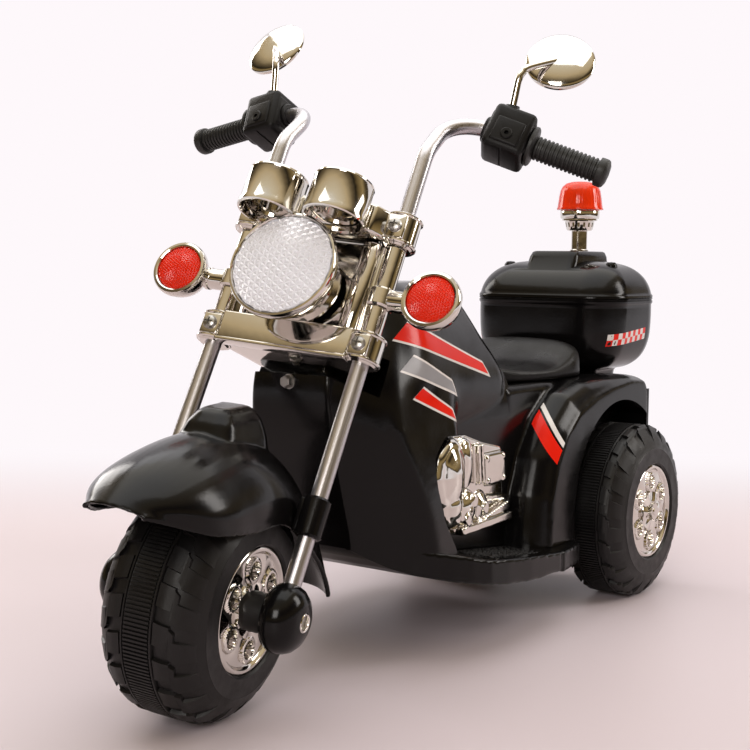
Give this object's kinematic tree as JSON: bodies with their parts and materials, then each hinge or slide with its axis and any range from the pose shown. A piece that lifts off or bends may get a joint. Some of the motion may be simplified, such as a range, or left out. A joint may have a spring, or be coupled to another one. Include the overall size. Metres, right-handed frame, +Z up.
{
  "type": "kids electric ride-on trike",
  "caption": "Child's battery ride-on chopper trike with a raked steering fork, sprung buttons and pedal, lidded top case with beacon, plated lamps and swivelling mirrors.",
  "frame": {"origin": "on the floor midway between the rear wheels, under the rear axle", "axes": "+X forward along the trike, +Y to the rider's left, +Z up"},
  "size_m": [0.8401, 0.4063, 0.581],
  "materials": {
    "black_gloss": "gloss moulded plastic",
    "black_satin": "satin moulded plastic",
    "tyre_black": "satin blow-moulded plastic with tread",
    "grip_rubber": "matt, ribbed",
    "seat_cover": "satin moulded plastic with a fine grain",
    "plated": "chrome-plated plastic",
    "steel": "brushed, plated",
    "clear_lens": "clear with prisms",
    "red_lens": "tinted clear",
    "orange_lens": "tinted clear",
    "red_plastic": "gloss",
    "grey_plastic": "satin",
    "battery_case": "satin",
    "motor_can": "plated can"
  },
  "bodies": {
    "chassis": {"footboard_tray": "black_satin", "front_cowl": "black_gloss", "rear_body": "black_gloss", "seat": "seat_cover", "engine_cover_left": "plated", "engine_cover_right": "plated", "box_tub": "black_gloss", "lid_pin": "steel", "head_bushes": "grey_plastic", "rear_axle": "steel", "axle_nuts": "steel", "battery": "battery_case", "control_unit": "grey_plastic", "speaker": "battery_case", "gearbox": "grey_plastic", "motor": "motor_can", "charge_socket": "grey_plastic", "tail_panel": "grey_plastic"},
    "steering": {"fork_tube_left": "steel", "fork_tube_right": "steel", "handlebar_left": "steel", "handlebar_right": "steel", "lower_clamp": "plated", "upper_clamp": "plated", "clamp_screws": "steel", "nacelle": "plated", "steering_stem": "steel", "stem_nut": "steel", "headlight_bucket": "plated", "headlight_lens": "clear_lens", "signal_housing_left": "plated", "signal_housing_right": "plated", "signal_lens_left": "red_lens", "signal_lens_right": "red_lens", "gauge_left": "plated", "gauge_right": "plated", "switch_box_left": "black_satin", "switch_box_right": "black_satin", "grip_left": "grip_rubber", "grip_right": "grip_rubber", "front_fender": "black_gloss", "fender_sleeves": "black_gloss", "front_axle": "steel", "axle_caps": "black_satin"},
    "front_wheel": {"front_tyre": "tyre_black", "front_hubcap_left": "plated", "front_hubcap_right": "plated"},
    "rear_wheel_left": {"rear_tyre_left": "tyre_black", "rear_hubcap_left": "plated"},
    "rear_wheel_right": {"rear_tyre_right": "tyre_black", "rear_hubcap_right": "plated"},
    "lid": {"box_lid": "black_gloss", "beacon_base": "plated", "beacon_lens": "orange_lens"},
    "mirror_left": {"mirror_left": "plated"},
    "mirror_right": {"mirror_right": "plated"},
    "horn_button": {"horn_button": "red_plastic"},
    "music_button": {"music_button": "red_plastic"},
    "foot_pedal": {"foot_pedal": "black_satin"},
    "drive_switch": {"drive_switch": "grey_plastic"}
  },
  "joints": [
    {"name": "steering", "type": "hinge", "parent": "chassis", "child": "steering", "pos_m": [0.39418, 0, 0.23844], "axis": [-0.4695, 0, 0.8829], "range_deg": [-31.5, 8.5]},
    {"name": "front_wheel_spin", "type": "hinge", "parent": "steering", "child": "front_wheel", "pos_m": [0.56058, 0.01595, 0.09247], "axis": [-0.176, 0.9799, -0.0936], "continuous": true},
    {"name": "rear_wheel_left_spin", "type": "hinge", "parent": "chassis", "child": "rear_wheel_left", "pos_m": [0, 0.108, 0.091], "axis": [0, 1, 0], "continuous": true},
    {"name": "rear_wheel_right_spin", "type": "hinge", "parent": "chassis", "child": "rear_wheel_right", "pos_m": [0, -0.108, 0.091], "axis": [0, 1, 0], "continuous": true},
    {"name": "lid_hinge", "type": "hinge", "parent": "chassis", "child": "lid", "pos_m": [-0.143, 0, 0.3173], "axis": [0, -1, 0], "range_deg": [0, 75]},
    {"name": "mirror_left_swivel", "type": "hinge", "parent": "steering", "child": "mirror_left", "pos_m": [0.28723, 0.1246, 0.4834], "axis": [-0.1341, 0.1554, 0.9787], "range_deg": [-25, 25]},
    {"name": "mirror_right_swivel", "type": "hinge", "parent": "steering", "child": "mirror_right", "pos_m": [0.32878, -0.10666, 0.50549], "axis": [-0.1044, -0.0098, 0.9945], "range_deg": [-25, 25]},
    {"name": "horn_button_press", "type": "slide", "parent": "steering", "child": "horn_button", "axis": [0.7934, 0.4616, 0.3968], "range_m": [0, 0.003], "stiffness_N_per_m": 300, "springref_m": -0.001},
    {"name": "music_button_press", "type": "slide", "parent": "steering", "child": "music_button", "axis": [0.8904, -0.0784, 0.4484], "range_m": [0, 0.003], "stiffness_N_per_m": 300, "springref_m": -0.001},
    {"name": "pedal_press", "type": "hinge", "parent": "chassis", "child": "foot_pedal", "pos_m": [0.205, -0.112, 0.0803], "axis": [0, 1, 0], "range_deg": [0, 6], "stiffness_Nm_per_rad": 0.8, "springref_deg": -5.73},
    {"name": "drive_switch_rock", "type": "hinge", "parent": "chassis", "child": "drive_switch", "pos_m": [0.264, -0.0665, 0.216], "axis": [1, 0, 0], "range_deg": [-8, 8]}
  ]
}
